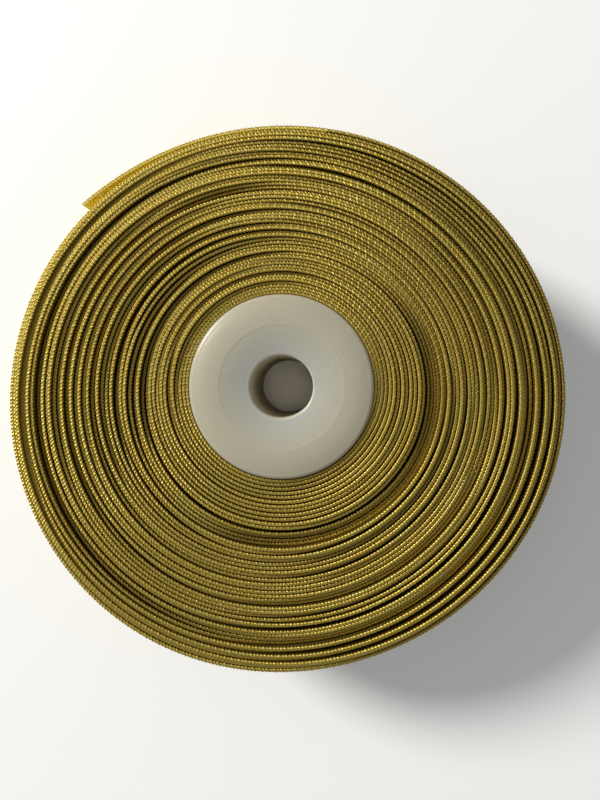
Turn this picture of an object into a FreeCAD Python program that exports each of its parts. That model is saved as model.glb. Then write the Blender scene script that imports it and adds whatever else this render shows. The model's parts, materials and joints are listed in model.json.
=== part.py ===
import FreeCAD, Part
import math
import os

# Ribbon spool: a flangeless roll of 25 mm woven ribbon on a two-part moulded core.
# Millimetres. The origin is the centre of the core's bore, +Z runs along the bore and
# out of the front face, and the roll lies on the rear edges of its outer wraps.

# --- Ribbon -----------------------------------------------------------------------
RIBBON_WIDTH = 25.0
RIBBON_THICKNESS = 0.34        # the flat weave between the two beaded edges
EDGE_THICKNESS = 0.50          # across the beaded edge, which spaces the turns
TURN_PITCH = 0.604             # radial growth per turn

# --- Core: two cup-shaped halves pushed together at the middle --------------------
CORE_RADIUS = 15.25
CORE_WIDTH = 25.4
BORE_RADIUS = 5.2
DOME_START = 11.0              # the end face falls away gently outside this radius
DOME_DROP = 0.50
CORNER_RADIUS = 0.9            # tight rounding between the end face and the drum
SKIRT_WALL = 1.6
HUB_WALL = 1.4
FACE_WALL = 1.8
FACE_STEP_RADIUS = 10.3        # faint concentric step on the end face
FACE_STEP_DEPTH = 0.05
FACE_DISH = 0.90               # how far the face sinks towards the bore
BORE_EDGE = 0.35               # rounding where the face turns into the bore
SPIGOT_WALL = 1.2
SPIGOT_REACH = 4.0             # how far the rear half's spigot enters the front half
SPIGOT_GRIP = 0.04             # radial interference that holds the halves together

# --- Roll -------------------------------------------------------------------------
# Each outline is mean + sag * slack(angle). The roll is wound a little looser towards
# SAG_ANGLE, so its turns are off centre from the bore, and slightly out of round.
SAG_ANGLE = -65.0
OVAL_SHARE = 0.18
OVAL_ANGLE = 13.0
THREE_LOBE_SHARE = 0.09
CORE_CLEARANCE = 0.2           # the roll can turn on its core
BUNDLE_MEAN = 22.95            # outside of the tight inner wraps
BUNDLE_SAG = 0.95
GAP_MEAN = 23.45               # inside of the outer wraps, a crescent gap further out
GAP_SAG = 1.15
ROLL_MEAN = 44.00              # outside of the outer wraps where the last turn starts
ROLL_SAG = 2.35
BUNDLE_LIFT = 1.2              # the inner wraps have slid this far out of the front

# --- Loose end --------------------------------------------------------------------
TAIL_HINGES = (88.0, 104.0, 121.0)      # angles at which the loose end can bend
TAIL_TIP = 137.5                        # angle of the straight-cut end
TAIL_REST_LIFT = 0.15                   # clear of the roll at the first hinge
TAIL_TIP_LIFT = 1.15                    # and at the cut end
TAIL_CURL = 3.0                         # how strongly the lift gathers at the cut end
HINGE_SLOT = 0.5                        # gap along the ribbon at each hinge

FULL_TURN = 360.0
OUTLINE_POINTS = 24
BUNDLE_REAR = -RIBBON_WIDTH / 2
OUTER_REAR = BUNDLE_REAR - BUNDLE_LIFT


def polar(radius, degrees, z=0.0):
    angle = math.radians(degrees)
    return FreeCAD.Vector(radius * math.cos(angle), radius * math.sin(angle), z)


def slack(degrees):
    """How loosely the roll is wound at an angle: about 1 towards SAG_ANGLE, -1 opposite."""
    off_centre = math.cos(math.radians(degrees - SAG_ANGLE))
    oval = OVAL_SHARE * math.cos(2 * math.radians(degrees - OVAL_ANGLE))
    three_lobe = THREE_LOBE_SHARE * math.cos(3 * math.radians(degrees))
    return off_centre + oval + three_lobe


def outline_radius(mean, sag, degrees):
    return mean + sag * slack(degrees)


def closed_outline(mean, sag, z):
    """A closed smooth outline that is off centre towards SAG_ANGLE."""
    points = []
    for step in range(OUTLINE_POINTS):
        degrees = step * FULL_TURN / OUTLINE_POINTS
        points.append(polar(outline_radius(mean, sag, degrees), degrees, z))
    curve = Part.BSplineCurve()
    curve.interpolate(points, PeriodicFlag=True)
    return Part.Wire([curve.toShape()])


def roll_radius(degrees, clearance=0.0):
    """Outside of the outer wraps: a spiral that grows by one pitch in its last turn."""
    turned = (degrees - TAIL_HINGES[0] + FULL_TURN) / FULL_TURN
    mean = ROLL_MEAN + TURN_PITCH * turned + clearance
    return outline_radius(mean, ROLL_SAG, degrees)


def spiral_edge(first, last, clearance, z):
    """One edge that follows the spiral from angle first to angle last."""
    points = []
    for step in range(OUTLINE_POINTS + 1):
        degrees = first + (last - first) * step / OUTLINE_POINTS
        points.append(polar(roll_radius(degrees, clearance), degrees, z))
    curve = Part.BSplineCurve()
    curve.interpolate(points)
    return curve.toShape()


def close_with_lines(inner, outer):
    """Join two edges that run side by side into one closed wire."""
    ends = [
        Part.makeLine(inner.valueAt(inner.FirstParameter), outer.valueAt(outer.FirstParameter)),
        Part.makeLine(inner.valueAt(inner.LastParameter), outer.valueAt(outer.LastParameter)),
    ]
    return Part.Wire(Part.__sortEdges__([inner, outer] + ends))


def upright(wires, height):
    """Extrude the face bounded by wires (outer first) along +Z."""
    face = Part.Face(wires)
    face.validate()
    return face.extrude(FreeCAD.Vector(0, 0, height))


def core_half(with_spigot):
    """One half of the core, from the middle plane up to its end face, as a revolution.

    The section runs along the drum, over the corner, across the domed and dished face with
    its step, into the bore, down the bore and back along the hollow inside.
    """
    top = CORE_WIDTH / 2
    skirt_inside = CORE_RADIUS - SKIRT_WALL
    hub_outside = BORE_RADIUS + HUB_WALL
    ceiling = top - FACE_DISH - FACE_WALL
    diagonal = math.sqrt(0.5)

    def at(radius, z):
        return FreeCAD.Vector(radius, 0, z)

    def line(a, b):
        return Part.makeLine(a, b)

    def arc(a, b, c):
        return Part.Arc(a, b, c).toShape()

    corner = at(CORE_RADIUS - CORNER_RADIUS, top - DOME_DROP)
    drum_top = at(CORE_RADIUS, corner.z - CORNER_RADIUS)
    corner_middle = at(corner.x + CORNER_RADIUS * diagonal,
                       drum_top.z + CORNER_RADIUS * diagonal)
    dome_start = at(DOME_START, top)
    dome_middle = at((DOME_START + corner.x) / 2, top - DOME_DROP / 4)
    step_top = at(FACE_STEP_RADIUS, top)
    step_foot = at(FACE_STEP_RADIUS - FACE_STEP_DEPTH, top - FACE_STEP_DEPTH)
    dish_foot = at(BORE_RADIUS + BORE_EDGE, top - FACE_DISH)
    bore_top = at(BORE_RADIUS, dish_foot.z - BORE_EDGE)
    bore_middle = at(BORE_RADIUS + BORE_EDGE * (1 - diagonal),
                     dish_foot.z - BORE_EDGE * (1 - diagonal))
    edges = [
        line(at(CORE_RADIUS, 0), drum_top),
        arc(drum_top, corner_middle, corner),
        arc(corner, dome_middle, dome_start),
        line(dome_start, step_top),
        line(step_top, step_foot),
        line(step_foot, dish_foot),
        arc(dish_foot, bore_middle, bore_top),
        line(bore_top, at(BORE_RADIUS, 0)),
        line(at(BORE_RADIUS, 0), at(hub_outside, 0)),
        line(at(hub_outside, 0), at(hub_outside, ceiling)),
        line(at(hub_outside, ceiling), at(skirt_inside, ceiling)),
        line(at(skirt_inside, ceiling), at(skirt_inside, 0)),
        line(at(skirt_inside, 0), at(CORE_RADIUS, 0)),
    ]
    section = Part.Face(Part.Wire(Part.__sortEdges__(edges)))
    half = section.revolve(FreeCAD.Vector(), FreeCAD.Vector(0, 0, 1), FULL_TURN)
    if not with_spigot:
        return half
    # The spigot is a ring on the inside of the skirt that reaches past the middle plane.
    down = FreeCAD.Vector(0, 0, -1)
    inside = skirt_inside - SPIGOT_WALL
    root = Part.makeCylinder(skirt_inside, SPIGOT_REACH, at(0, SPIGOT_REACH), down)
    reach = Part.makeCylinder(skirt_inside + SPIGOT_GRIP, SPIGOT_REACH, at(0, 0), down)
    hollow = Part.makeCylinder(inside, 2 * SPIGOT_REACH, at(0, SPIGOT_REACH), down)
    spigot = root.fuse(reach).cut(hollow)
    return half.fuse(spigot).removeSplitter()


def inner_wraps():
    """The tight wraps next to the core, which stand proud of the rest at the front."""
    z = BUNDLE_REAR
    outside = closed_outline(BUNDLE_MEAN, BUNDLE_SAG, z)
    hole = Part.Wire([Part.makeCircle(CORE_RADIUS + CORE_CLEARANCE, FreeCAD.Vector(0, 0, z))])
    return upright([outside, hole], RIBBON_WIDTH)


def outer_wraps():
    """The looser wraps outside the crescent gap. They carry the roll on a surface."""
    z = OUTER_REAR
    start = TAIL_HINGES[0] - FULL_TURN
    spiral = spiral_edge(start, TAIL_HINGES[0], 0.0, z)
    step = Part.makeLine(spiral.valueAt(spiral.LastParameter),
                         spiral.valueAt(spiral.FirstParameter))
    outside = Part.Wire([spiral, step])
    hole = closed_outline(GAP_MEAN, GAP_SAG, z)
    return upright([outside, hole], RIBBON_WIDTH)


def slot_angle():
    """Half of a hinge's gap, as an angle about the bore."""
    return math.degrees(HINGE_SLOT / 2 / ROLL_MEAN)


def last_turn():
    """The outermost full turn, up to the first bend of the loose end."""
    seat = 0.05                # hairline of air behind the turn
    rear_margin = 0.3          # it stands clear of what the roll lies on
    z = OUTER_REAR + rear_margin
    first = TAIL_HINGES[0] - FULL_TURN + slot_angle()
    last = TAIL_HINGES[0] - slot_angle()
    inner = spiral_edge(first, last, seat, z)
    outer = spiral_edge(first, last, seat + EDGE_THICKNESS, z)
    return upright([close_with_lines(inner, outer)], RIBBON_WIDTH - rear_margin)


def tail_radius(degrees, clearance=0.0):
    """Inside face of the loose end, which curls off the roll near its cut end."""
    along = (degrees - TAIL_HINGES[0]) / (TAIL_TIP - TAIL_HINGES[0])
    lift = TAIL_REST_LIFT + (TAIL_TIP_LIFT - TAIL_REST_LIFT) * along ** TAIL_CURL
    return roll_radius(degrees) + lift + clearance


def tail_piece(first, last):
    """One stiff stretch of the loose end, with plain arcs for its two faces."""
    z = OUTER_REAR
    middle = (first + last) / 2

    def face_arc(clearance):
        points = [polar(tail_radius(a, clearance), a, z) for a in (first, middle, last)]
        return Part.Arc(*points).toShape()

    return upright([close_with_lines(face_arc(0.0), face_arc(RIBBON_THICKNESS))], RIBBON_WIDTH)


def build():
    front = core_half(with_spigot=False)
    rear = core_half(with_spigot=True)
    rear.rotate(FreeCAD.Vector(), FreeCAD.Vector(1, 0, 0), 180)
    bends = list(TAIL_HINGES) + [TAIL_TIP + slot_angle()]
    names = ("tail_root", "tail_mid", "tail_tip")
    nodes = {
        "core_front_half": front,
        "core_rear_half": rear,
        "inner_wraps": inner_wraps(),
        "outer_wraps": outer_wraps(),
        "last_turn": last_turn(),
    }
    for name, first, last in zip(names, bends[:-1], bends[1:]):
        nodes[name] = tail_piece(first + slot_angle(), last - slot_angle())
    return nodes


os.makedirs("parts", exist_ok=True)
for name, shape in build().items():
    box = shape.BoundBox
    print(f"{name}: valid {shape.isValid()}, solids {len(shape.Solids)}, "
          f"{shape.Volume / 1000:.2f} cm3, z {box.ZMin:.2f} to {box.ZMax:.2f}")
    shape.exportStep(f"parts/{name}.step")
for hinge in TAIL_HINGES:
    place = polar(tail_radius(hinge, RIBBON_THICKNESS / 2), hinge)
    print(f"hinge at {hinge}: x {place.x:.3f}, y {place.y:.3f}")
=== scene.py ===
"""Ribbon spool: a roll of gold woven ribbon on a milky plastic core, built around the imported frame.

Lengths in the geometry below are millimetres until a mesh is made. Angles are degrees about
the bore, anticlockwise from +X seen from the front. A turn number runs along the ribbon,
from 0 at the core to LAST_TURN_END at the first bend of the loose end.
"""

import json
import math

import bpy
import numpy as np
from mathutils import Matrix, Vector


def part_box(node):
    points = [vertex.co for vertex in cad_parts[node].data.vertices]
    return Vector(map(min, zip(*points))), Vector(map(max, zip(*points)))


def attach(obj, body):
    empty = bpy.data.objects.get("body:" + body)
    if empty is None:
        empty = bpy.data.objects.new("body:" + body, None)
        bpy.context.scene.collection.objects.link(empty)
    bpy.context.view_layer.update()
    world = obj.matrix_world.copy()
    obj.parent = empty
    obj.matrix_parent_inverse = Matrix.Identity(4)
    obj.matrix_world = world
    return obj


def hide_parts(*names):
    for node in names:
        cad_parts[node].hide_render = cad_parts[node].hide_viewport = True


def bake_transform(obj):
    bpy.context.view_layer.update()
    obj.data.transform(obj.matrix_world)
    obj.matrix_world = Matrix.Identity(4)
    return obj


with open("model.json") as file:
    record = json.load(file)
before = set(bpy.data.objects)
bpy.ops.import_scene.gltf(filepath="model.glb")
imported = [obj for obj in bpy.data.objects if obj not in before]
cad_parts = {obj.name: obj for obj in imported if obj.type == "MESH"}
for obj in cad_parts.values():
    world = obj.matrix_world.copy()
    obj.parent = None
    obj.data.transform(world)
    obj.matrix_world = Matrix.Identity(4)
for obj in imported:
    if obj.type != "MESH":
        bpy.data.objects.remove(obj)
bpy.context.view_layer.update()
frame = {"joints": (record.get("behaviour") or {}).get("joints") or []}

MM = 0.001

# --- Ribbon, in step with the frame -----------------------------------------------
RIBBON_WIDTH = 25.0
BODY_HALF = 0.17               # half the thickness of the flat weave
EDGE_HALF = 0.275              # half the thickness of the beaded edge
TURN_PITCH = 0.607
BEAD_PITCH = 0.58              # one weft yarn turning round the edge
STEPS_PER_BEAD = 4

# --- Winding ----------------------------------------------------------------------
SAG_ANGLE, OVAL_SHARE, OVAL_ANGLE, THREE_LOBE_SHARE = -65.0, 0.18, 13.0, 0.09
FIRST_RADIUS = 15.54
TIGHT_TURNS, TIGHTER_BY = 3.0, 0.08           # the first turns are pulled hard onto the core
WEDGE_TURNS = 0.08             # the ribbon's inner end is pressed flat under the second turn
CROSSING_START, CROSSING_TURNS = 12.2, 0.5     # the half turn between inner and outer wraps
CROSSING_GAP = 0.25
BUNDLE_RADIUS, BUNDLE_SAG = 22.7, 0.95
OUTER_RADIUS, OUTER_SAG = 23.7, 1.15
ROLL_RADIUS, ROLL_SAG = 44.9, 2.35
TAIL_START, TAIL_TIP = 88.0, 137.5
LAST_TURN_END = 48.26
TAIL_LIFT, TAIL_CURL = 1.1, 3.0
REST_PLANE = -13.7             # rear edges of the lowest wraps
PEEL_DEGREES = 8.0             # the loose end's mesh starts this far before its first bend
BULGE, BULGE_ANGLE, BULGE_SWING = 1.1, 168.0, 26.0       # the swing is from inside to outside
BULGE_OVAL, BULGE_OVAL_ANGLE = 0.14, 140.0
BUNDLE_LEVEL, BUNDLE_RISE, OUTER_LEVEL = 0.30, 1.15, 1.25     # forward of the rest plane's level
UNEVEN_ANGLE = 158.0           # the turns' edges are least even along this diameter
GROUP_TURNS = 3.15


def slack(degrees):
    """How loosely the roll is wound at an angle, as in the frame."""
    a = np.radians(degrees)
    oval = OVAL_SHARE * np.cos(2 * (a - math.radians(OVAL_ANGLE)))
    return np.cos(a - math.radians(SAG_ANGLE)) + oval + THREE_LOBE_SHARE * np.cos(3 * a)


def smooth(x):
    x = np.clip(x, 0.0, 1.0)
    return x * x * (3 - 2 * x)


def angle_of(turn):
    return TAIL_START - 360.0 * (LAST_TURN_END - turn)


def angle_gap(a, b):
    return (a - b + 180.0) % 360.0 - 180.0


def knots(seed, count):
    return np.random.default_rng(seed).uniform(-1, 1, count)


def wander(turn, seed, per_turn):
    """Smooth random drift along the ribbon, between -1 and 1, with per_turn knots a turn."""
    values = knots(seed, int(60 * per_turn) + 4)
    place = np.clip(turn + 2, 0, 56) * per_turn
    low = np.floor(place).astype(int)
    share = smooth(place - low)
    return values[low] * (1 - share) + values[low + 1] * share


def end_wedge(turn):
    """Share of the full thickness, from 0 at the very end of the ribbon beside the core."""
    return np.clip(1 + turn / WEDGE_TURNS, 0.02, 1)


def crossed_over(turn):
    """0 in the inner wraps and 1 in the outer ones, rising over the crossing turn."""
    return smooth((turn - CROSSING_START) / CROSSING_TURNS)


def mean_radius(turn):
    """Radius of the ribbon's middle surface if each turn were centred on the bore."""
    tight = TIGHTER_BY * np.clip(turn, 0, TIGHT_TURNS)
    return FIRST_RADIUS + TURN_PITCH * turn - tight + CROSSING_GAP * crossed_over(turn)


def share_out(turn):
    """0 at the inside of the outer wraps and 1 at their outside."""
    return np.clip((mean_radius(turn) - OUTER_RADIUS) / (ROLL_RADIUS - OUTER_RADIUS), 0, 1)


def bulge(turn, degrees):
    """The middle of the outer wraps stands out on the left and pulls in on the right."""
    out = share_out(turn)
    offset = BULGE * np.cos(np.radians(degrees - BULGE_ANGLE - BULGE_SWING * out))
    oval = BULGE_OVAL * np.cos(np.radians(2 * (degrees - BULGE_OVAL_ANGLE)))
    return crossed_over(turn) * smooth(out / 0.25) * smooth((1 - out) / 0.22) * (offset + oval)


def turn_at(place, degrees):
    """The turn that the bulge has moved to a place counted outwards in even turns."""
    turn = place
    for _ in range(4):
        turn = place - bulge(turn, degrees) / TURN_PITCH
    return turn


def wound_radius(turn):
    """Radius of the ribbon's middle surface along the spiral."""
    degrees = angle_of(turn)
    crossed = crossed_over(turn)
    mean = mean_radius(turn)
    inner = BUNDLE_SAG * np.clip((mean - FIRST_RADIUS) / (BUNDLE_RADIUS - FIRST_RADIUS), 0, 1) ** 1.3
    outer = OUTER_SAG + (ROLL_SAG - OUTER_SAG) * share_out(turn)
    radius = mean + (inner * (1 - crossed) + outer * crossed) * slack(degrees)
    # the first turn hugs the core and then steps over the ribbon's inner end
    lap = turn - np.floor(turn)
    first_pitch = TURN_PITCH - TIGHTER_BY
    hug = first_pitch * lap * smooth((1 - lap) / WEDGE_TURNS) * np.exp(-np.maximum(turn, 0) / 4)
    radius -= np.where(turn < 0, first_pitch * turn + EDGE_HALF * (1 - end_wedge(turn)), hug)
    radius += bulge(turn, degrees)
    # neighbouring turns draw together in places and leave dark gaps in others
    calm = smooth(turn / 1.5) * smooth((LAST_TURN_END - turn) / 1.0)
    radius += 0.015 * calm * wander(turn, 11, 1.7)
    radius += 0.025 * calm * np.cos(group_phase(turn))
    return radius


# Where turns have slipped back (negative) or forward, in millimetres along the bore. Each
# line is a side of the roll and the places there, counted outwards in even turns:
# (angle, half width in degrees, half width in turns, slip, places)
SLIPS = [
    # wide dark grooves on the left, then the narrow ones between them
    (175, 110, 1.5, -0.90, (41.0,)),
    (160, 95, 1.6, -0.95, (33.0,)),
    (165, 80, 1.2, -0.75, (25.5,)),
    (165, 60, 0.8, -0.45, (45.0, 35.5, 27.5, 23.5, 20.0, 14.5)),
    (205, 55, 0.8, -0.60, (18.0,)),
    (150, 80, 1.0, -0.70, (12.0,)),
    (110, 65, 1.1, -0.50, (6.5,)),
    (230, 80, 0.7, -0.40, (5.0,)),
    # the shaded crescent beside the proud inner wraps
    (318, 85, 2.3, -1.45, (14.5,)),
    # grooves on the lower right
    (330, 90, 1.2, -0.55, (48.0,)),
    (310, 65, 1.1, -0.68, (39.5, 36.0, 33.0, 29.0)),
    (315, 60, 0.7, -0.30, (44.5, 42.5, 41.5, 26.5)),
    (318, 58, 0.8, -0.70, (24.5, 22.5, 19.5, 17.0)),
    (320, 75, 2.0, -0.40, (1.5,)),
    # grooves on the right, then on the upper right
    (15, 50, 0.9, -0.70, (38.0, 30.0, 13.0)),
    (10, 45, 0.8, -0.50, (45.0, 32.0, 27.0, 16.5)),
    (60, 42, 0.8, -0.40, (43.5, 40.5, 36.0, 32.5, 25.5, 20.5)),
    # ridges on the left
    (170, 80, 1.0, 0.32, (46.5, 43.5)),
    (165, 70, 0.8, 0.35, (39.0, 31.0)),
    (165, 60, 0.8, 0.25, (42.5, 37.5, 34.5, 29.5)),
    (150, 75, 0.8, 0.40, (24.5, 18.5)),
    (150, 60, 0.8, 0.30, (23.0, 16.5, 14.0, 9.5)),
    (130, 70, 0.7, 0.25, (4.5,)),
    # ridges on the lower right
    (310, 60, 0.7, 0.30, (46.0, 43.5, 41.0, 35.0, 27.5, 25.5, 23.5)),
    (310, 65, 0.8, 0.38, (38.5, 31.5)),
    (310, 90, 1.2, 0.30, (11.0,)),
    (290, 60, 0.8, 0.30, (6.0,)),
]


def plateau(x, half_width):
    """1 over the middle of the range, falling smoothly to 0 at half_width on both sides."""
    return smooth(1.7 * (1 - np.abs(x) / half_width))


def group_phase(turn):
    """Turns bunch in loose groups of about three. This runs through one cycle a group."""
    return 2 * np.pi * turn / GROUP_TURNS + 1.6 * wander(turn, 5, 0.6)


def even_slip(turn):
    """The level that the turns keep on average. The inner wraps rise like a shallow cone."""
    crossed = crossed_over(turn)
    bundle = BUNDLE_LEVEL + BUNDLE_RISE * np.clip(turn / CROSSING_START, 0, 1)
    return bundle * (1 - crossed) + OUTER_LEVEL * crossed


def slip(turn):
    """How far each stretch of the ribbon stands forward of the rest plane's level."""
    degrees = angle_of(turn)
    crossed = crossed_over(turn)
    level = even_slip(turn)
    calm = smooth((turn - 1.6) / 2.0) * (0.55 + 0.45 * crossed)
    uneven = 0.5 + 0.5 * np.cos(2 * np.radians(degrees - UNEVEN_ANGLE))
    pairs = np.tanh(1.8 * np.sin(np.pi * turn * 0.97 + 1.7 * wander(turn, 8, 0.8)))
    level += calm * (0.14 + 0.08 * uneven) * np.sin(group_phase(turn))
    level += calm * (0.17 + 0.12 * uneven) * pairs
    level += calm * 0.10 * wander(turn, 3, 2.3)
    for facing, half_angle, half_turns, amount, places in SLIPS:
        side = amount * plateau(angle_gap(degrees, facing), half_angle)
        for place in places:
            level += side * plateau(turn - turn_at(place, facing), half_turns)
    return np.maximum(level, 0.02)


# --- Mesh -------------------------------------------------------------------------

def path_points(turn):
    """Plan position, slip and recess below the average level along a stretch of the roll."""
    radius = wound_radius(turn)
    a = np.radians(angle_of(turn))
    plan = np.stack([radius * np.cos(a), radius * np.sin(a)], 1)
    return plan, slip(turn), even_slip(turn) - slip(turn)


def tail_points(degrees):
    """The loose end rises off the roll and stands a little forward at its tip."""
    along = (degrees - TAIL_START) / (TAIL_TIP - TAIL_START)
    turn = LAST_TURN_END + (degrees - TAIL_START) / 360.0
    base = FIRST_RADIUS + TURN_PITCH * turn - TIGHTER_BY * TIGHT_TURNS + CROSSING_GAP
    radius = base + ROLL_SAG * slack(degrees) + TAIL_LIFT * np.clip(along, 0, 1) ** TAIL_CURL
    a = np.radians(degrees)
    plan = np.stack([radius * np.cos(a), radius * np.sin(a)], 1)
    end_slip = slip(np.array([LAST_TURN_END]))[0]
    return plan, end_slip + 0.10 * np.clip(along, 0, 1), 0.0 * along


def section(middle_points):
    """Closed cross-section as (outward, forward, edge share), forward from the ribbon's middle.

    Both edges are rounded beads. Edge share is 1 on the bead and 0 on the flat weave.
    """
    half = RIBBON_WIDTH / 2
    centre = half - EDGE_HALF
    neck = centre - 0.55
    rows = []
    # two strands side by side, like a twisted cord
    strands = (0.90, 0.60), (0.47, 1.0), (0, 0.68), (-0.47, 1.0), (-0.90, 0.60)
    for outward, forward in ((1, 0), *strands, (-1, 0)):
        rows.append((EDGE_HALF * outward, centre + EDGE_HALF * forward, 1.0))
    inner_side = [(-BODY_HALF, z, 0.0) for z in np.linspace(neck, -neck, middle_points)]
    rear = []
    for step in range(3):
        turn = math.pi * (1 + step / 2)
        rear.append((EDGE_HALF * math.cos(turn), -centre + EDGE_HALF * math.sin(turn), 1.0))
    outer_side = [(BODY_HALF, z, 0.0) for z in np.linspace(-neck, neck, middle_points)]
    return np.array(rows + inner_side + rear + outer_side)


def ribbon_mesh(name, plan, slips, recess, start_length, middle_points=2, thickness=1.0):
    """A closed strip along plan (mm), standing on edge, with weft ribs and beaded edges."""
    shape = section(middle_points)
    ahead = np.gradient(plan, axis=0)
    ahead /= np.linalg.norm(ahead, axis=1, keepdims=True)
    outward = np.stack([ahead[:, 1], -ahead[:, 0]], 1)
    steps = np.linalg.norm(np.diff(plan, axis=0), axis=1)
    along = start_length + np.concatenate([[0], np.cumsum(steps)])
    # each weft yarn stands out as a rib and twists slightly as it rounds the edge
    lean = np.arctan2(shape[:, 1] - np.sign(shape[:, 1]) * (RIBBON_WIDTH / 2 - EDGE_HALF), shape[:, 0])
    lean = np.where(shape[:, 2] > 0, lean, 0.0)
    phase = 2 * np.pi * along[:, None] / BEAD_PITCH + 2.2 * lean[None, :]
    rib = np.cos(phase)
    pair = np.cos(phase / 2 + 0.4)
    swell = 1 + shape[None, :, 2] * (0.18 * rib + 0.05 * pair) + (1 - shape[None, :, 2]) * 0.16 * rib
    across = shape[None, :, 0] * swell * np.reshape(thickness, (-1, 1))
    bead_height = shape[None, :, 2] * (0.065 * rib + 0.018 * pair) * np.sign(shape[None, :, 1])
    height = REST_PLANE + RIBBON_WIDTH / 2 + slips[:, None] + shape[None, :, 1] + bead_height
    x = plan[:, 0, None] + outward[:, 0, None] * across
    y = plan[:, 1, None] + outward[:, 1, None] * across
    points = np.stack([x, y, height], -1)
    rows, columns = points.shape[:2]
    mesh = bpy.data.meshes.new(name)
    grid = np.arange(rows * columns).reshape(rows, columns)
    a, b = grid[:-1], grid[1:]
    quads = np.stack([a, np.roll(a, -1, 1), np.roll(b, -1, 1), b], -1).reshape(-1, 4)
    mesh.vertices.add(rows * columns)
    mesh.vertices.foreach_set("co", (points.reshape(-1) * MM).astype(np.float32))
    corner_count = quads.size + 2 * columns
    mesh.loops.add(corner_count)
    caps = np.concatenate([grid[0][::-1], grid[-1]])
    mesh.loops.foreach_set("vertex_index", np.concatenate([quads.reshape(-1), caps]).astype(np.int32))
    mesh.polygons.add(len(quads) + 2)
    starts = np.concatenate([np.arange(len(quads)) * 4, quads.size + np.array([0, columns])])
    mesh.polygons.foreach_set("loop_start", starts.astype(np.int32))
    mesh.update(calc_edges=True)
    mesh.validate()
    mesh.shade_smooth()
    # both cut ends are crisp, so that the shading runs on across a joint between pieces
    cut = np.zeros(len(mesh.edges), bool)
    edge_of = np.zeros(corner_count, np.int32)
    mesh.loops.foreach_get("edge_index", edge_of)
    cut[edge_of[quads.size:]] = True
    mesh.attributes.new("sharp_edge", "BOOLEAN", "EDGE").data.foreach_set("value", cut)
    # recess, the depth below the average level, drives painted shade in the ribbon's colour
    for label, values in (("along", np.repeat(along, columns)),
                          ("across", np.tile(RIBBON_WIDTH / 2 - shape[:, 1], rows)),
                          ("inside", np.tile((shape[:, 0] < 0).astype(float), rows)),
                          ("recess", np.repeat(recess, columns))):
        layer = mesh.attributes.new(label, "FLOAT", "POINT")
        layer.data.foreach_set("value", values.astype(np.float32))
    ob = bpy.data.objects.new(name, mesh)
    bpy.context.scene.collection.objects.link(ob)
    return ob, along[-1] - start_length, along[-1]


def turn_samples(first, last):
    """Turn numbers spaced evenly along the ribbon, STEPS_PER_BEAD to each bead."""
    fine = np.linspace(first, last, 4000)
    reach = np.concatenate([[0], np.cumsum(np.diff(fine) * 2 * np.pi * wound_radius(fine)[1:])])
    count = max(8, int(reach[-1] / BEAD_PITCH * STEPS_PER_BEAD))
    return np.interp(np.linspace(0, reach[-1], count + 1), reach, fine)


# --- Materials --------------------------------------------------------------------

class Nodes:
    """A short way to lay out one material's nodes."""

    def __init__(self, name):
        self.material = bpy.data.materials.new(name)
        self.material.use_nodes = True
        self.tree = self.material.node_tree
        self.shader = self.tree.nodes["Principled BSDF"]

    def add(self, kind, **settings):
        node = self.tree.nodes.new("ShaderNode" + kind)
        for key, value in settings.items():
            setattr(node, key, value)
        return node

    def link(self, source, target):
        self.tree.links.new(source, target)

    def value(self, name):
        return self.add("Attribute", attribute_name=name).outputs["Fac"]

    def math(self, operation, a, b=None, c=None):
        node = self.add("Math", operation=operation)
        for socket, item in zip(node.inputs, (a, b, c)):
            if item is None:
                continue
            if isinstance(item, (int, float)):
                socket.default_value = item
            else:
                self.link(item, socket)
        return node.outputs[0]

    def wave(self, source, pitch, phase=0.0):
        return self.math("SINE", self.math("MULTIPLY_ADD", source, 2 * math.pi / pitch, phase))

    def vector(self, x, y, z=0.0):
        node = self.add("CombineXYZ")
        for socket, item in zip(node.inputs, (x, y, z)):
            if isinstance(item, (int, float)):
                socket.default_value = item
            else:
                self.link(item, socket)
        return node.outputs[0]

    def noise(self, vector, scale, detail=2.0, roughness=0.5):
        node = self.add("TexNoise")
        self.link(vector, node.inputs["Vector"])
        node.inputs["Scale"].default_value = scale
        node.inputs["Detail"].default_value = detail
        node.inputs["Roughness"].default_value = roughness
        return node.outputs["Fac"]

    def mix(self, share, a, b):
        node = self.add("Mix", data_type="RGBA")
        for socket, item in zip((node.inputs[0], node.inputs[6], node.inputs[7]), (share, a, b)):
            if isinstance(item, (int, float)):
                socket.default_value = item
            elif isinstance(item, tuple):
                socket.default_value = (*item, 1.0)
            else:
                self.link(item, socket)
        return node.outputs[2]

    def spread(self, source, low, high, to_low, to_high):
        node = self.add("MapRange")
        self.link(source, node.inputs["Value"])
        for key, value in (("From Min", low), ("From Max", high), ("To Min", to_low), ("To Max", to_high)):
            node.inputs[key].default_value = value
        return node.outputs["Result"]

    def bump(self, height, distance, strength=1.0, before=None):
        node = self.add("Bump")
        node.inputs["Distance"].default_value = distance
        node.inputs["Strength"].default_value = strength
        self.link(height, node.inputs["Height"])
        if before is not None:
            self.link(before, node.inputs["Normal"])
        return node.outputs["Normal"]


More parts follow.
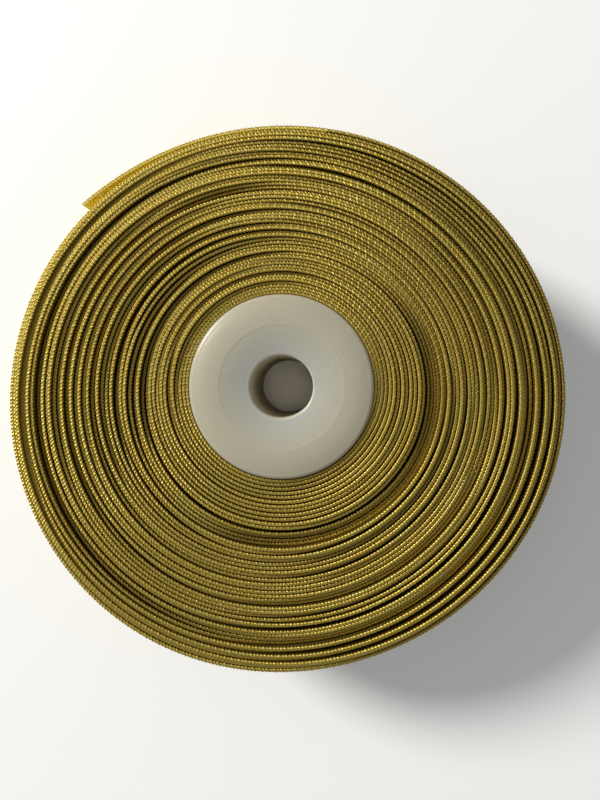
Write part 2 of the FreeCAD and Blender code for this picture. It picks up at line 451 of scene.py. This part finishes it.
def gold_ribbon(name, single=False):
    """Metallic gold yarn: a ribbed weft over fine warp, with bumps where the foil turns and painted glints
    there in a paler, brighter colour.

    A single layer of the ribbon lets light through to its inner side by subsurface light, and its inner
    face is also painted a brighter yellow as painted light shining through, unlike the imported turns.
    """
    n = Nodes(name)
    along, across = n.value("along"), n.value("across")
    slow = n.noise(n.vector(n.math("MULTIPLY", along, 0.05), n.math("MULTIPLY", across, 0.02)), 1.0, 3.0)
    foil = n.noise(n.vector(n.math("MULTIPLY", along, 3.4), n.math("MULTIPLY", across, 1.3)), 1.0, 3.0, 0.6)
    glint = n.noise(n.vector(n.math("MULTIPLY", along, 9.0), n.math("MULTIPLY", across, 5.0)), 1.0, 1.0)
    warp = n.wave(across, 0.34)
    weft = n.wave(along, 0.29)
    warm = n.mix(n.spread(slow, 0.38, 0.62, 0.0, 1.0), (0.60, 0.51, 0.13), (0.58, 0.42, 0.07))
    colour = n.mix(n.spread(foil, 0.30, 0.72, 0.0, 1.0), warm, (0.42, 0.30, 0.05))
    # painted glints: random spots of the colour are painted paler and brighter
    colour = n.mix(n.spread(glint, 0.60, 0.82, 0.0, 0.7), colour, (0.82, 0.76, 0.32))
    # painted shade: the colour is darker in the dips between the weft yarn's ribs
    rib = n.wave(along, BEAD_PITCH, math.pi / 2)
    colour = n.mix(n.spread(rib, -1.0, 0.5, 0.45, 0.0), colour, (0.30, 0.19, 0.03))
    # painted shade: turns that sit back behind their neighbours are painted darker than the proud ones
    colour = n.mix(n.spread(n.value("recess"), -0.20, 0.65, 0.0, 0.86), colour, (0.20, 0.135, 0.024))
    n.shader.inputs["Metallic"].default_value = 0.92
    if single:
        # painted light: the inner face is painted a brighter yellow and made less metallic, standing in for
        # light shining through the weave, with painted shade in the dips between ribs; the subsurface light
        # adds real light through
        inside = n.value("inside")
        painted_light_through = n.mix(n.spread(rib, -1.0, 0.6, 1.0, 0.0), (0.88, 0.70, 0.19), (0.74, 0.52, 0.11))
        colour = n.mix(inside, colour, painted_light_through)
        n.link(n.spread(inside, 0.0, 1.0, 0.92, 0.25), n.shader.inputs["Metallic"])
        n.link(inside, n.shader.inputs["Subsurface Weight"])
        n.shader.inputs["Subsurface Radius"].default_value = (1.0, 0.93, 0.33)
        n.shader.inputs["Subsurface Scale"].default_value = 0.0011
    n.link(colour, n.shader.inputs["Base Color"])
    n.link(n.spread(foil, 0.25, 0.75, 0.34, 0.50), n.shader.inputs["Roughness"])
    height = n.math("MULTIPLY_ADD", warp, 0.30, n.math("MULTIPLY", weft, 0.22))
    height = n.math("ADD", height, n.math("MULTIPLY", glint, 1.1))
    n.link(n.bump(height, 0.00003), n.shader.inputs["Normal"])
    return n.material


def core_plastic():
    """Milky translucent plastic with faint turning marks and a soft handled gloss."""
    n = Nodes("core_plastic")
    place = n.add("TexCoord").outputs["Object"]
    split = n.add("SeparateXYZ")
    n.link(place, split.inputs[0])
    radius = n.math("SQRT", n.math("ADD", n.math("POWER", split.outputs[0], 2.0),
                                   n.math("POWER", split.outputs[1], 2.0)))
    cloud = n.noise(place, 90.0, 3.0)
    speck = n.noise(place, 1400.0, 1.0)
    rings = n.noise(n.vector(radius, 0.0), 1500.0, 1.0)
    shade = n.mix(n.spread(radius, 0.0058, 0.0108, 0.0, 1.0), (0.415, 0.42, 0.385), (0.445, 0.415, 0.31))
    shade = n.mix(n.spread(cloud, 0.35, 0.70, 0.0, 0.5), shade, (0.41, 0.375, 0.28))
    # the bore is duller than the polished face, and its wall is painted lighter and yellower as painted
    # light, standing in for daylight glowing through the milky plastic
    shade = n.mix(n.spread(radius, 0.00525, 0.0054, 1.0, 0.0), shade, (0.50, 0.45, 0.32))
    n.link(shade, n.shader.inputs["Base Color"])
    dull = n.spread(radius, 0.00525, 0.0054, 0.85, 0.0)
    n.link(n.math("MAXIMUM", dull, n.spread(cloud, 0.3, 0.7, 0.24, 0.36)), n.shader.inputs["Roughness"])
    n.shader.inputs["Subsurface Weight"].default_value = 0.50
    n.shader.inputs["Subsurface Radius"].default_value = (1.0, 0.9, 0.75)
    n.shader.inputs["Subsurface Scale"].default_value = 0.0016
    n.shader.inputs["IOR"].default_value = 1.49
    height = n.math("ADD", n.math("MULTIPLY", rings, 0.5), n.math("MULTIPLY", speck, 0.35))
    n.link(n.bump(height, 0.00002, 0.5), n.shader.inputs["Normal"])
    return n.material


def pale_floor():
    n = Nodes("pale_floor")
    n.shader.inputs["Base Color"].default_value = (0.95, 0.95, 0.94, 1.0)
    n.shader.inputs["Roughness"].default_value = 0.7
    return n.material


# --- Pieces -----------------------------------------------------------------------

GOLD = gold_ribbon("gold_ribbon")
THIN_GOLD = gold_ribbon("gold_ribbon_single", single=True)
PLASTIC = core_plastic()
ribbon_length = 0.0


def finish_ribbon(ob, material=GOLD):
    ob.data.materials.append(material)


def wraps(name, first, last, body, stands_for=None, middle_points=2):
    """A stretch of the roll that rides on one body."""
    global ribbon_length
    turns = turn_samples(first, last)
    ob, length, ribbon_length = ribbon_mesh(name, *path_points(turns), ribbon_length, middle_points,
                                           end_wedge(turns))
    finish_ribbon(ob)
    if body:
        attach(ob, body)
    if stands_for:
        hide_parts(stands_for)
    return ob


def turn_point(turn, height=0.0):
    radius, a = wound_radius(np.array([turn]))[0], math.radians(angle_of(turn))
    return (radius * math.cos(a) * MM, radius * math.sin(a) * MM, height * MM)


def make_roll():
    crossing_end = CROSSING_START + CROSSING_TURNS
    wraps("inner_wraps_1", -WEDGE_TURNS, 7.0, "inner_coil", "inner_wraps")
    wraps("inner_wraps_2", 7.0, CROSSING_START, "inner_coil")
    crossing = wraps("crossing_turn", CROSSING_START, crossing_end, None)
    turn_point(CROSSING_START)
    turn_point(crossing_end)
    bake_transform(crossing)
    last_start = LAST_TURN_END - 1.0
    bounds = np.linspace(crossing_end ** 2, last_start ** 2, 9) ** 0.5
    for number, (first, last) in enumerate(zip(bounds[:-1], bounds[1:]), 1):
        name = f"outer_wraps_{number}"
        wraps(name, first, last, "outer_coil", "outer_wraps" if number == 1 else None)
    peel_start = LAST_TURN_END - PEEL_DEGREES / 360.0
    wraps("last_turn_wrap", last_start, peel_start, "outer_coil", "last_turn", 6)


def hinge_angle(name):
    joint = next(j for j in frame["joints"] if j["name"] == name)
    return math.degrees(math.atan2(joint["pos_m"][1], joint["pos_m"][0]))


def make_tail():
    """Three stretches of the loose end, each lying across one of its hinges."""
    global ribbon_length
    bends = [hinge_angle(j) for j in ("tail_lift", "tail_mid_bend", "tail_tip_bend")]
    splits = [TAIL_START - PEEL_DEGREES, (bends[0] + bends[1]) / 2, (bends[1] + bends[2]) / 2, TAIL_TIP]
    bodies = ["outer_coil", "tail_root", "tail_mid", "tail_tip"]
    half_bend = 4.0
    for number, name in enumerate(("tail_peel", "tail_middle", "tail_end")):
        first, last = splits[number], splits[number + 1]
        count = int((last - first) * math.radians(1) * ROLL_RADIUS / BEAD_PITCH * STEPS_PER_BEAD)
        degrees = np.linspace(first, last, count + 1)
        ob, length, ribbon_length = ribbon_mesh(name, *tail_points(degrees), ribbon_length, 6)
        finish_ribbon(ob, THIN_GOLD)
        for offset in (-half_bend, half_bend):
            plan = tail_points(np.array([bends[number] + offset]))[0]
        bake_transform(ob)
        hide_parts(bodies[number + 1])


# --- Core -------------------------------------------------------------------------

CORE_RADIUS, BORE_RADIUS = 15.25, 5.2
FACE_DISH = 0.85


def arc_points(centre, radius, first, last, count):
    """Points (radius, height) on an arc, angles in degrees."""
    found = []
    for a in np.radians(np.linspace(first, last, count)):
        found.append((centre[0] + radius * math.cos(a), centre[1] + radius * math.sin(a)))
    return found


def core_profile(top):
    """Half section of one half of the core, from the middle plane over the face to the bore."""
    corner, drop = 0.9, 0.50
    rim = CORE_RADIUS - corner
    line = [(CORE_RADIUS, 0.0), (CORE_RADIUS, 6.0), (CORE_RADIUS, top - drop - 1.6)]
    line += arc_points((rim, top - drop - corner), corner, 0, 70, 16)
    for radius in np.linspace(rim, 5.75, 72):
        dome = drop * np.clip((radius - 11.0) / (rim - 11.0), 0, 1) ** 2.1
        step = 0.05 * smooth((10.4 - radius) / 0.5)
        dish = FACE_DISH * np.clip((10.2 - radius) / 4.6, 0, 1) ** 1.3
        line.append((radius, top - float(dome + step + dish)))
    edge = 0.45
    line += arc_points((BORE_RADIUS + edge, top - FACE_DISH - 0.03 - edge), edge, 100, 180, 10)
    line += [(BORE_RADIUS, top - 4.0), (BORE_RADIUS, 0.0)]
    hub, skirt, ceiling = BORE_RADIUS + 1.4, CORE_RADIUS - 1.6, top - 2.75
    line += [(hub, 0.0), (hub, ceiling - 0.5), (hub + 0.5, ceiling)]
    line += [(skirt - 0.5, ceiling), (skirt, ceiling - 0.5), (skirt, 0.0)]
    return line


def lathe(name, profile, segments=192):
    """A closed solid of revolution from a closed (radius, height) outline, in millimetres."""
    outline = np.array(profile)
    a = np.arange(segments) * 2 * math.pi / segments
    x = outline[None, :, 0] * np.cos(a)[:, None]
    y = outline[None, :, 0] * np.sin(a)[:, None]
    z = np.broadcast_to(outline[None, :, 1], x.shape)
    points = np.stack([x, y, z], -1).reshape(-1, 3) * MM
    grid = np.arange(len(points)).reshape(x.shape)
    b, across = np.roll(grid, -1, 0), np.roll(grid, -1, 1)
    faces = np.stack([grid, b, np.roll(b, -1, 1), across], -1).reshape(-1, 4)
    mesh = bpy.data.meshes.new(name)
    mesh.from_pydata(points.tolist(), [], faces.tolist())
    mesh.validate()
    mesh.shade_smooth()
    mesh.set_sharp_from_angle(angle=math.radians(50))
    ob = bpy.data.objects.new(name, mesh)
    bpy.context.scene.collection.objects.link(ob)
    return ob


def make_core():
    low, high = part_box("core_front_half")
    top = high.z / MM
    for name, node, way in (("core_front", "core_front_half", 1), ("core_rear", "core_rear_half", -1)):
        profile = [(r, way * z) for r, z in core_profile(top)]
        ob = lathe(name, profile if way > 0 else profile[::-1])
        ob.data.materials.append(PLASTIC)
        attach(ob, "core")
        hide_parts(node)


# --- Stage, light, camera ---------------------------------------------------------

def make_stage():
    size = 1.5
    mesh = bpy.data.meshes.new("floor")
    z = REST_PLANE * MM
    mesh.from_pydata([(-size, -size, z), (size, -size, z), (size, size, z), (-size, size, z)],
                     [], [(0, 1, 2, 3)])
    floor = bpy.data.objects.new("floor", mesh)
    floor.data.materials.append(pale_floor())
    bpy.context.scene.collection.objects.link(floor)


def aim(ob, place, target, up=(0, 1, 0)):
    """Puts ob at place, facing target, with up as the image's upward direction."""
    place, target, up = (np.array(v, float) for v in (place, target, up))
    ahead = (target - place) / np.linalg.norm(target - place)
    right = np.cross(ahead, up)
    right /= np.linalg.norm(right)
    above = np.cross(right, ahead)
    matrix = np.eye(4)
    matrix[:3, 0], matrix[:3, 1], matrix[:3, 2], matrix[:3, 3] = right, above, -ahead, place
    ob.matrix_world = Matrix(matrix.tolist())


def area_light(name, azimuth, elevation, distance, size, power, colour=(1, 1, 1)):
    light = bpy.data.lights.new(name, "AREA")
    light.shape, light.size, light.energy, light.color = "DISK", size, power, colour
    ob = bpy.data.objects.new(name, light)
    bpy.context.scene.collection.objects.link(ob)
    a, e = math.radians(azimuth), math.radians(elevation)
    reach = distance * math.cos(e)
    place = (reach * math.cos(a), reach * math.sin(a), distance * math.sin(e))
    aim(ob, place, (0, 0, 0), up=(0, 0.01, 1))


def bore_light():
    """A narrow warm beam straight down the bore.

    It stands in for the daylight that comes through the core's milky wall.
    """
    light = bpy.data.lights.new("bore", "SPOT")
    light.energy, light.color, light.shadow_soft_size = 0.36, (1.0, 0.86, 0.60), 0.004
    light.spot_size, light.spot_blend = math.radians(2.1), 0.4
    ob = bpy.data.objects.new("bore", light)
    bpy.context.scene.collection.objects.link(ob)
    aim(ob, (0.0002, 0, 0.30), (0, 0, 0))


def make_light():
    area_light("key", 148, 32, 1.40, 0.36, 22.5, (1.0, 0.98, 0.93))
    area_light("fill", -35, 50, 0.70, 0.50, 0.10, (0.93, 0.96, 1.0))
    area_light("top", 60, 82, 0.80, 0.60, 0.15)
    bore_light()
    world = bpy.data.worlds.new("studio")
    world.use_nodes = True
    background = world.node_tree.nodes["Background"]
    background.inputs["Color"].default_value = (0.95, 0.97, 1.0, 1.0)
    background.inputs["Strength"].default_value = 0.35
    bpy.context.scene.world = world
    bpy.context.scene.view_settings.view_transform = "Standard"


def make_camera():
    """Straight down beside the bore, a hand's breadth above the front face."""
    camera = bpy.data.cameras.new("camera")
    camera.lens, camera.sensor_width, camera.clip_start = 27.0, 36.0, 0.002
    ob = bpy.data.objects.new("camera", camera)
    bpy.context.scene.collection.objects.link(ob)
    x, y = 0.0065, 0.0006          # beside the bore
    face, distance = 12.3 * MM, 0.0979
    aim(ob, (x, y, face + distance), (x, y, 0))
    # the roll is framed a little off centre
    camera.shift_x, camera.shift_y = -0.02625, -0.02125
    bpy.context.scene.camera = ob


make_camera()
make_stage()
make_light()
make_roll()
make_tail()
make_core()
